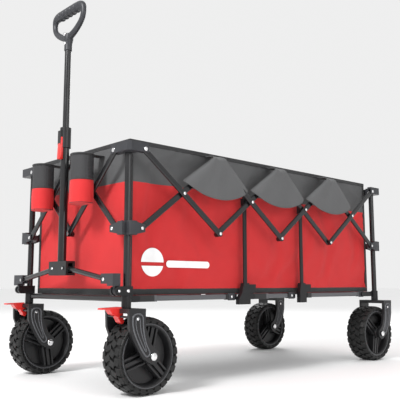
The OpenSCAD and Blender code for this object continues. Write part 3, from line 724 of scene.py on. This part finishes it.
# %% The lock's red lever
lock_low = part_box("handle_lock_collar")[0]
LEVER_DROP, LEVER_LONG = 36 * MM, 69 * MM
lever = block("lock_lever", (lock_low[0] - 1.8 * MM, -8.8 * MM, lock_low[2] - LEVER_DROP),
              (lock_low[0] + 11 * MM, 8.8 * MM, lock_low[2] + 33 * MM), 3 * MM)
for corner in lever.data.vertices:
    share = (corner.co.z - lock_low[2] + LEVER_DROP) / LEVER_LONG
    if corner.co.x < lock_low[0] + 4 * MM:
        corner.co.x += 3 * MM * share * share - 1 * MM * math.sin(math.pi * share)
piece_of(lever, "handle", PEDAL_RED)
print("made", lever.name)

# %% [markdown]
# ## Clips
# Small grey clips hold the free ends of the bottom rails. Each is a bevelled block half over the
# rail's side, with a rivet on its face.

# %% Clips on the bottom rails
for k, inset in ((1, 24 * MM), (2, 20 * MM), (3, 12 * MM)):
    rail = f"bottom_rail_{k}"
    low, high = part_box(rail)
    x, z = high[0] - inset, (low[2] + high[2]) / 2
    for hand in (-1, 1):
        y = high[1] if hand > 0 else low[1]
        ys = sorted((y - hand * 4 * MM, y + hand * 2 * MM))
        clip = block(f"clip_{k}_{LETTER[hand]}", (x - 14 * MM, ys[0], z - 11 * MM),
                     (x + 14 * MM, ys[1], z + 11 * MM), 1.5 * MM)
        piece_of(clip, rail, GREY_NYLON)
        rivet(f"clip_rivet_{k}_{LETTER[hand]}", rail, (x, y + hand * 2 * MM, z), (0, hand, 0),
              4.6 * MM, 2 * MM)
print("clips: 6")

# %% [markdown]
# ## The padded tub
# Each wall is one sheet: red below, grey above, sewn to black binding at its edges. It is cut a
# little larger than its frame and held at its border, so the cloth simulation lets it settle into
# shallow waves. The move is capped, because rails run just outside.

# %% Walls by cloth simulation
wall_low, wall_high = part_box("side_walls")
front_low, front_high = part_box("front_wall")
back_low, back_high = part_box("rear_wall")
SEAM_Z = 0.571
CELL, HELD_EDGE, GROWTH = 0.013, 0.012, 0.012
PROUD = 0.0004


def squashed(piece):
    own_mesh(piece)
    return piece


def settle_cloth(panel, held, cap):
    rest = [corner.co.copy() for corner in panel.data.vertices]
    group = panel.vertex_groups.new(name="held")
    group.add([k for k, co in enumerate(rest) if held(co)], 1.0, "REPLACE")
    cloth = panel.modifiers.new("cloth", "CLOTH")
    cloth.settings.vertex_group_mass = "held"
    cloth.settings.quality = 4
    cloth.settings.shrink_min = -GROWTH
    cloth.settings.bending_stiffness = 2.0
    cloth.settings.effector_weights.gravity = 0
    cloth.point_cache.frame_start, cloth.point_cache.frame_end = 1, 20
    for step in range(1, 21):
        bpy.context.scene.frame_set(step)
    only(panel)
    bpy.ops.object.modifier_apply(modifier=cloth.name)
    bpy.context.scene.frame_set(1)
    panel.vertex_groups.clear()
    for corner, start in zip(panel.data.vertices, rest):
        way = corner.co - start
        if way.length > cap:
            corner.co = start + way * (cap / way.length)
    return panel


def wall(name, low, high, out, body, cap=0.007):
    """A wall in the plane that faces `out`, between the corners low and high (x or y, then z)."""
    facing_side = abs(out.y) > 0.5
    width, height = high[0] - low[0], high[1] - low[1]
    middle, mid_z = (low[0] + high[0]) / 2, (low[1] + high[1]) / 2
    panel = add("grid", name, scale=(width, height, 1), x_subdivisions=max(24, int(width / CELL)),
                y_subdivisions=max(12, int(height / CELL)), size=1)
    yaws = {(0, -1): 0, (0, 1): math.pi, (-1, 0): -math.pi / 2, (1, 0): math.pi / 2}
    move(panel, turn=(math.pi / 2, 0, yaws[(round(out.x), round(out.y))]))
    face = out.y * wall_high[1] if facing_side else (front_low[0] if out.x < 0 else back_high[0])
    place = (middle, face, mid_z) if facing_side else (face, middle, mid_z)
    move(panel, by=place)

    def held(co):
        along = co.x if facing_side else co.y
        near = min(along - low[0], high[0] - along, co.z - low[1], high[1] - co.z)
        return near < HELD_EDGE

    settle_cloth(panel, held, cap)
    for corner in panel.data.vertices:
        proud = (corner.co - Vector(place)).dot(out)
        if proud > PROUD:
            corner.co -= Vector(out) * (proud - PROUD + proud * 0.3)
    panel.data.materials.clear()
    for material in (RED_CANVAS, GREY_CANVAS, LINING):
        panel.data.materials.append(material)
    for polygon in panel.data.polygons:
        polygon.material_index = 1 if polygon.center.z > SEAM_Z else 0
    modify(panel, "SOLIDIFY", thickness=2.4 * MM, offset=-1)
    for polygon in panel.data.polygons:
        if polygon.normal.dot(out) < -0.3:
            polygon.material_index = 2
    smooth(panel, 50)
    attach(panel, body)
    return panel


right_wall = wall("right_wall", (wall_low[0], wall_low[2]), (wall_high[0], wall_high[2]),
                  Vector((0, -1, 0)), "root")
left_wall = wall("left_wall", (wall_low[0], wall_low[2]), (wall_high[0], wall_high[2]),
                 Vector((0, 1, 0)), "root")
squashed(right_wall)
squashed(left_wall)
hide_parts("side_walls")
front_panel = wall("front_panel", (front_low[1], front_low[2]), (front_high[1], front_high[2]),
                   Vector((-1, 0, 0)), "root", cap=0.005)
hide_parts("front_wall")
rear_panel = wall("rear_panel", (back_low[1], back_low[2]), (back_high[1], back_high[2]),
                  Vector((1, 0, 0)), "rear_frame", cap=0.005)
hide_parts("rear_wall")
walls = (right_wall, left_wall, front_panel, rear_panel)
print("walls hold", sum(len(panel.data.polygons) for panel in walls), "faces")

# %% [markdown]
# ## The tub's floor
# A stiffened mat lies on the rails. It is a thin grid that dips 1.5 mm along its quilted lines,
# which is cheaper than modelling the stitches that draw it in.

# %% Floor mat
floor_low, floor_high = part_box("tub_floor")
mat_size = (floor_high[0] - floor_low[0], floor_high[1] - floor_low[1])
mat = add("grid", "floor_mat", scale=(*mat_size, 1), x_subdivisions=96, y_subdivisions=40, size=1,
          location=((floor_low[0] + floor_high[0]) / 2, 0, floor_high[2]))
for corner in mat.data.vertices:
    share = (corner.co.x - floor_low[0]) / mat_size[0]
    quilt = abs(math.sin(4 * math.pi * share)) ** 0.4
    corner.co.z += 1.5 * MM * quilt - 1.5 * MM
modify(mat, "SOLIDIFY", thickness=3 * MM, offset=-1)
smooth(mat, 50)
piece_of(mat, "root", LINING, "tub_floor")
squashed(mat)
print("made", mat.name)

# %% [markdown]
# ## Binding and hem
# Black webbing is folded over the top edge, sewn up every corner, and runs round the bottom as a
# hem. A strip is a block with round edges, and each top binding has a row of stitches.

# %% Webbing strips
PITCH, THREAD_LONG, THREAD_THICK = 7 * MM, 4 * MM, 0.9 * MM


def strip(name, low, high, body, folds=False):
    made = block(name, low, high, 1.6 * MM)
    piece_of(made, body, BLACK_WEBBING)
    return squashed(made) if folds else made


def stitches(name, start, end, body, folds=False):
    start, end = Vector(start), Vector(end)
    way = (end - start).normalized()
    size = [THREAD_LONG if abs(part) > 0.5 else THREAD_THICK for part in way]
    made = []
    for k in range(int((end - start).length / PITCH)):
        place = start + way * (k * PITCH) + way * THREAD_LONG / 2
        made.append(add("cube", "stitch", scale=size, size=1, location=place))
    row = join(name, made)
    piece_of(row, body, STITCH)
    return squashed(row) if folds else row


STITCH = canvas("dark_thread", (0.05, 0.05, 0.055), 0.6, 0.0001)
TOP, LOW = wall_high[2], wall_low[2]
BAND, HEM, CORNER = 11 * MM, 17 * MM, 13 * MM
for hand in (-1, 1):
    side = WORD[hand]
    outer = hand * (wall_high[1] + 1.2 * MM)
    inner = hand * (wall_high[1] - 4.2 * MM)
    ys = sorted((outer, inner))
    strip(f"top_binding_{side}", (wall_low[0], ys[0], TOP - BAND),
          (wall_high[0], ys[1], TOP + 1.5 * MM), "root", folds=True)
    ys = sorted((hand * (wall_high[1] + 0.5 * MM), inner))
    strip(f"hem_{side}", (wall_low[0], ys[0], LOW), (wall_high[0], ys[1], LOW + HEM), "root", folds=True)
    for x, end in ((wall_low[0], "front"), (wall_high[0] - CORNER, "rear")):
        strip(f"corner_{end}_{side}", (x, ys[0], LOW + HEM), (x + CORNER, ys[1], TOP - BAND), "root",
              folds=True)
    stitches(f"top_stitches_{side}", (wall_low[0] + 0.02, outer, TOP - 8.5 * MM),
             (wall_high[0] - 0.02, outer, TOP - 8.5 * MM), "root", folds=True)
for end, body, face, out in (("front", "root", front_low[0], -1), ("rear", "rear_frame", back_high[0], 1)):
    xs = sorted((face + out * 1.2 * MM, face - out * 4.2 * MM))
    y0, y1 = front_low[1] - 0.004, front_high[1] + 0.004
    strip(f"top_binding_{end}", (xs[0], y0, TOP - BAND), (xs[1], y1, TOP + 1.5 * MM), body)
    strip(f"hem_{end}", (xs[0], y0, LOW), (xs[1], y1, LOW + HEM), body)
    for y in (y0, y1 - CORNER):
        strip(f"corner_{end}_{'a' if y < 0 else 'b'}", (xs[0], y, LOW + HEM),
              (xs[1], y + CORNER, TOP - BAND), body)
    stitches(f"top_stitches_{end}", (face + out * 1.2 * MM, y0 + 0.02, TOP - 8.5 * MM),
             (face + out * 1.2 * MM, y1 - 0.02, TOP - 8.5 * MM), body)
print("bindings, hems and stitches on four walls")

# %% [markdown]
# ## Petal flaps
# Each upper joint of the side scissors is covered by a petal: narrow where it is sewn to the top
# binding, tented out over the joint, then fanning to a curved lower edge. It is a grid whose
# points are laid out by a formula, given thickness and a corded edge.

# %% Petals
FLAP_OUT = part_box("side_flaps")[1][1]
HALF_COLUMN = (COLUMNS[1] - COLUMNS[0]) / 2
TAB_HALF, PETAL_GAP = 0.011, 0.006
EDGE_DROP, MIDDLE_DROP = 0.102, 0.146
CUT_SPARE = 1.45  # the rectangle of a petal's cut is this many times the petal's area


def ease(t):
    t = max(0.0, min(1.0, t))
    return t * t * (3 - 2 * t)


def petal_point(u, v, x, hand):
    """The place for u, from -1 to 1 across the petal, and v, from 0 at the binding to 1 at its edge."""
    half = TAB_HALF + (HALF_COLUMN - PETAL_GAP - TAB_HALF) * max(0.0, (v - 0.10) / 0.90) ** 0.92
    across = u * half
    lobe = 1 - abs(u) ** 2.2
    drop = EDGE_DROP + (MIDDLE_DROP - EDGE_DROP) * lobe - 0.004
    z = TOP - 0.007 - drop * v + 0.003 * math.sin(math.pi * min(1, v / 0.3))
    start = wall_high[1]
    reach = FLAP_OUT - 0.003 - start
    spread = ease(v / 0.17)
    y = start + reach * spread * (1 - 0.30 * abs(u) ** 8 * v)
    ripple = 0.0016 * math.sin(7 * u + 3 * v) * v
    return Vector((x + across, hand * (y + ripple), z))


def petal(name, x, hand):
    cells = 28
    sheet = add("grid", name, x_subdivisions=cells, y_subdivisions=cells, size=2)
    for corner in sheet.data.vertices:
        u, v = corner.co.x, (1 - corner.co.y) / 2
        corner.co = petal_point(u, v, x, hand)
    area = sum(p.area for p in sheet.data.polygons)
    face_outward(sheet)
    if sheet.data.polygons[cells * cells // 2].normal.y * hand < 0:
        edit_all(sheet, "flip_normals")
    modify(sheet, "SOLIDIFY", thickness=1.6 * MM, offset=-1)
    smooth(sheet, 60)
    piece_of(sheet, "root", FLAP_CANVAS)
    edge = [petal_point(1 - 2 * k / 24, 1.0, x, hand) for k in range(25)]
    left = [petal_point(-1, 1 - k / 16, x, hand) for k in range(1, 16)]
    right = [petal_point(1, k / 16, x, hand) for k in range(1, 17)]
    cord = wire(f"{name}_edge", right + edge[1:] + left, 1.3 * MM, resolution=2)
    piece_of(cord, "root", GREY_CANVAS)
    squashed(cord)
    squashed(sheet)
    width, length = 2 * HALF_COLUMN, area / (2 * HALF_COLUMN) * CUT_SPARE
    return sheet


petals = [petal(f"petal_{k + 1}_{WORD[hand]}", x, hand) for hand in (-1, 1) for k, x in enumerate(COLUMNS)]
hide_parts("side_flaps")
print("petals:", len(petals))

# %% [markdown]
# ## Cup holders
# Each is a red canvas cup below and an open mesh sleeve above, with a black ring at its mouth, and
# its back is flat against the frame. A cylinder is cut to its rows, and the back is pressed flat.

# %% Cups
cup_low, cup_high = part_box("cup_holders")
CUP_R = 37 * MM
CUP_X = cup_low[0] + CUP_R
CUP_BACK = FRONT - 28.5 * MM
CUP_Y = cup_high[1] - CUP_R
CUP_Z = (cup_low[2], cup_low[2] + 68 * MM, cup_high[2] - 5 * MM)


ROWS = 10


def sleeve_piece(name, y, low, high, radius, material, bulge, floor=False):
    tube = add("cylinder", name, vertices=64, radius=radius, depth=high - low,
               end_fill_type="NGON" if floor else "NOTHING", location=(CUP_X, y, (low + high) / 2))
    if floor:
        for polygon in tube.data.polygons:
            polygon.select = polygon.normal.z > 0.9
        only(tube)
        bpy.ops.object.mode_set(mode="EDIT")
        bpy.ops.mesh.select_mode(type="FACE")
        bpy.ops.mesh.delete(type="FACE")
        bpy.ops.object.mode_set(mode="OBJECT")
    cut_rows(tube, [low + (high - low) * k / ROWS for k in range(1, ROWS)])
    for corner in tube.data.vertices:
        share = (corner.co.z - low) / (high - low)
        swell = 1 + bulge * math.sin(math.pi * share) / radius
        corner.co.x = CUP_X + (corner.co.x - CUP_X) * swell
        corner.co.y = y + (corner.co.y - y) * swell
        corner.co.x = min(corner.co.x, CUP_BACK)
    modify(tube, "SOLIDIFY", thickness=1.8 * MM, offset=-1)
    smooth(tube, 60)
    return piece_of(tube, "root", material)


for hand in (-1, 1):
    side = WORD[hand]
    y = hand * CUP_Y
    base = sleeve_piece(f"cup_base_{side}", y, CUP_Z[0], CUP_Z[1], CUP_R - 1.5 * MM, RED_CANVAS, 1.2 * MM,
                        floor=True)
    if hand < 0:
        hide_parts("cup_holders")
    top = sleeve_piece(f"cup_mesh_{side}", y, CUP_Z[1], CUP_Z[2], CUP_R - 2.5 * MM, CUP_MESH, 0.4 * MM)
    around, turns = CUP_R - 2.6 * MM, [2 * math.pi * k / 40 for k in range(40)]
    for label, z, thick in (("rim", CUP_Z[2], 3.2), ("seam", CUP_Z[1], 2.0),
                            ("foot", CUP_Z[0] + 2 * MM, 1.6)):
        loop = [(min(CUP_X + around * math.cos(a), CUP_BACK - 1 * MM), y + around * math.sin(a), z)
                for a in turns]
        cord = wire(f"cup_{label}_{side}", loop, thick * MM, closed=True)
        piece_of(cord, "root", BLACK_WEBBING)
    tab = block(f"cup_strap_{side}", (CUP_BACK - 2 * MM, y - 14 * MM, cup_high[2] - 3 * MM),
                (front_low[0] - 0.5 * MM, y + 14 * MM, cup_high[2]), 1 * MM)
    piece_of(tab, "root", BLACK_WEBBING)
    back = block(f"cup_back_{side}", (CUP_BACK - 3 * MM, y - 15 * MM, CUP_Z[2] - 30 * MM),
                 (CUP_BACK - 0.5 * MM, y + 15 * MM, cup_high[2]), 1 * MM)
    piece_of(back, "root", BLACK_WEBBING)
print("cup holders: 2")

# %% [markdown]
# ## The grip
# A closed D of moulded nylon on a flared neck. The loop is a wire whose radius swells along the
# top bar, five rounded ridges sit under the bar for the fingers, and the neck is a turned shape.

# %% Grip loop, ridges and neck
grip_low, grip_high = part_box("handle_grip")
GRIP_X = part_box("handle_upper_tube")[0][0] + 19.5 * MM / 2
GRIP_HALF = (grip_high[1] - grip_low[1]) / 2
GRIP_TOP = grip_high[2]
NECK = GRIP_TOP - 102 * MM


def grip_loop():
    bar, side = 13.4 * MM, 8.2 * MM
    z_bar = GRIP_TOP - bar
    right = [(0, z_bar, bar), (0.028, z_bar, bar), (0.052, z_bar, bar), (0.070, z_bar - 0.001, 12.2 * MM),
             (0.0805, z_bar - 0.008, 10.2 * MM), (0.0838, z_bar - 0.021, side),
             (0.082, z_bar - 0.036, side), (0.075, z_bar - 0.049, side),
             (0.058, z_bar - 0.063, side * 1.05), (0.036, z_bar - 0.075, side * 1.1),
             (0.016, z_bar - 0.082, side * 1.2)]
    left = [(-y, z, r) for y, z, r in right[:0:-1]]
    path = right + [(0, z_bar - 0.084, side * 1.3)] + left
    grow = 1.12
    loop = wire("grip_loop", [(GRIP_X, y, z) for y, z, r in path], 1.0, closed=True,
                radii=[r * grow for y, z, r in path], resolution=6)
    for corner in loop.data.vertices:
        corner.co.x = GRIP_X + (corner.co.x - GRIP_X) * 0.86
        corner.co.z = min(corner.co.z, GRIP_TOP)
        corner.co.y = max(-GRIP_HALF, min(GRIP_HALF, corner.co.y))
    return loop


parts = [grip_loop()]
for k in range(-2, 3):
    ridge = add("torus", "ridge", major_segments=28, minor_segments=10, major_radius=10.5 * MM,
                minor_radius=5 * MM, rotation=(math.pi / 2, 0, 0),
                location=(GRIP_X, k * 22 * MM, GRIP_TOP - 15.5 * MM))
    smooth(ridge, 60)
    parts.append(ridge)
piece_of(join("grip", parts), "handle_upper", GREY_NYLON, "handle_grip")
NECK_DROP, NECK_LONG = 39 * MM, 53 * MM
neck = rod("grip_neck", (GRIP_X, 0, NECK - NECK_DROP), (GRIP_X, 0, NECK + 14 * MM), 14 * MM, 40)
cut_rows(neck, [NECK - NECK_DROP + k * 5.9 * MM for k in range(1, 9)])
for corner in neck.data.vertices:
    share = (corner.co.z - NECK + NECK_DROP) / NECK_LONG
    flare = 0.86 + 0.34 * ease((share - 0.35) / 0.5)
    corner.co.x = GRIP_X + (corner.co.x - GRIP_X) * min(flare, 1.05)
    corner.co.y *= flare
modify(neck, "BEVEL", width=1.2 * MM, segments=2, limit_method="ANGLE")
piece_of(smooth(neck, 40), "handle_upper", GREY_NYLON)
for label, z, out in (("low", NECK - 17 * MM, 12.6 * MM), ("high", NECK + 11 * MM, 14.6 * MM)):
    rivet(f"neck_rivet_{label}", "handle_upper", (GRIP_X - out, 0, z), (-1, 0, 0), 5.5 * MM, 3.4 * MM)
print("grip, neck and two rivets")

# %% [markdown]
# ## A plain mark
# The side carries a white print. A split disc and a rounded bar stand in for it: flat shapes with
# no lettering, a few tenths of a millimetre proud of the cloth.

# %% Plain mark
def flat_print(name, outline):
    """A thin print on the right wall, from (x, z) points that go round its outline."""
    data = bpy.data.curves.new(name, "CURVE")
    data.dimensions = "2D"
    data.fill_mode = "BOTH"
    data.extrude = 0.25 * MM
    spline = data.splines.new("POLY")
    spline.points.add(len(outline) - 1)
    for point, (x, z) in zip(spline.points, outline):
        point.co = (x, z, 0, 1)
    spline.use_cyclic_u = True
    return move(as_mesh(new_object(name, data)), by=(0, -wall_high[1] - 0.65 * MM, 0),
                turn=(math.pi / 2, 0, 0))


MARK_X, MARK_Z = FRONT + 0.062, 0.300
DISC_R, PILL_R = 0.040, 0.010


def arc(x, z, radius, start, steps):
    """Points round a centre, from the angle start on, every 7.5 degrees."""
    turns = [start + k * math.pi / 24 for k in range(steps)]
    return [(MARK_X + x + radius * math.cos(a), MARK_Z + z + radius * math.sin(a)) for a in turns]


def turn_of(point):
    return math.atan2(point[1] - MARK_Z - 0.05, point[0] - MARK_X - 0.04)


disc = arc(0.040, 0.050, DISC_R, 0, 49)
upper = sorted((p for p in disc if p[1] > MARK_Z + 0.046), key=turn_of)
lower = sorted((p for p in disc if p[1] < MARK_Z + 0.040), key=turn_of)
pill = arc(0.100, 0.046, PILL_R, math.pi / 2, 25) + arc(0.250, 0.046, PILL_R, -math.pi / 2, 25)
shapes = [flat_print(f"mark_{k}", outline) for k, outline in enumerate((upper, lower, pill))]
squashed(piece_of(join("plain_mark", shapes), "root", PRINT_WHITE))
print("plain mark of", len(shapes), "shapes")

# %% [markdown]
# ## Camera, floor and light
# A low camera looks slightly up at the wagon's front right corner. Its place is given from the
# middle of the wagon, so the view stays the same when the wagon's length changes a little.

# %% Camera
camera_data = bpy.data.cameras.new("camera")
camera_data.lens = 55.44
camera_data.sensor_width = 36
camera_data.clip_end = 50
camera = new_object("camera", camera_data)
middle_x = (FRONT + REAR) / 2
camera.location = (middle_x - 1.57986, -1.6143, 0.29119)
camera.rotation_euler = (math.radians(97.7), 0, math.radians(-42.72))
bpy.context.scene.camera = camera
print("camera at", [round(v, 3) for v in camera.location])

# %% [markdown]
# A pale floor catches the shadow. Three round area lights stand for softboxes: the key is before
# the wagon's front, so the shadow falls toward its rear. A white world fills the dark sides.

# %% Floor and lights
stage = add("plane", "stage_floor", size=60)
floor_finish = Finish("pale_floor", (0.94, 0.94, 0.94), 0.75)
floor_tone = floor_finish.noise(1.5, 2)
floor_finish.feed("Base Color", floor_finish.between(floor_tone, (0.93, 0.93, 0.93), (0.95, 0.95, 0.95)))
stage.data.materials.append(floor_finish.material)


def soft_light(name, place, target, size, watts):
    data = bpy.data.lights.new(name, "AREA")
    data.shape = "DISK"
    data.size = size
    data.energy = watts
    lamp = new_object(name, data)
    lamp.location = place
    lamp.rotation_euler = (Vector(target) - Vector(place)).to_track_quat("-Z", "Y").to_euler()


soft_light("key", (-3.4, -0.6, 2.7), (0, 0, 0.3), 1.0, 125)
soft_light("fill", (-0.4, -4.0, 1.5), (0, 0, 0.4), 2.4, 35)
soft_light("back", (2.4, 2.6, 2.8), (0, 0, 0.4), 2.0, 40)
world = bpy.data.worlds.new("studio")
world.use_nodes = True
sky = world.node_tree.nodes["Background"]
sky.inputs["Color"].default_value = (1, 1, 1, 1)
sky.inputs["Strength"].default_value = 0.86
bpy.context.scene.world = world
bpy.context.scene.view_settings.view_transform = "Standard"
print("lights:", len(bpy.data.lights))
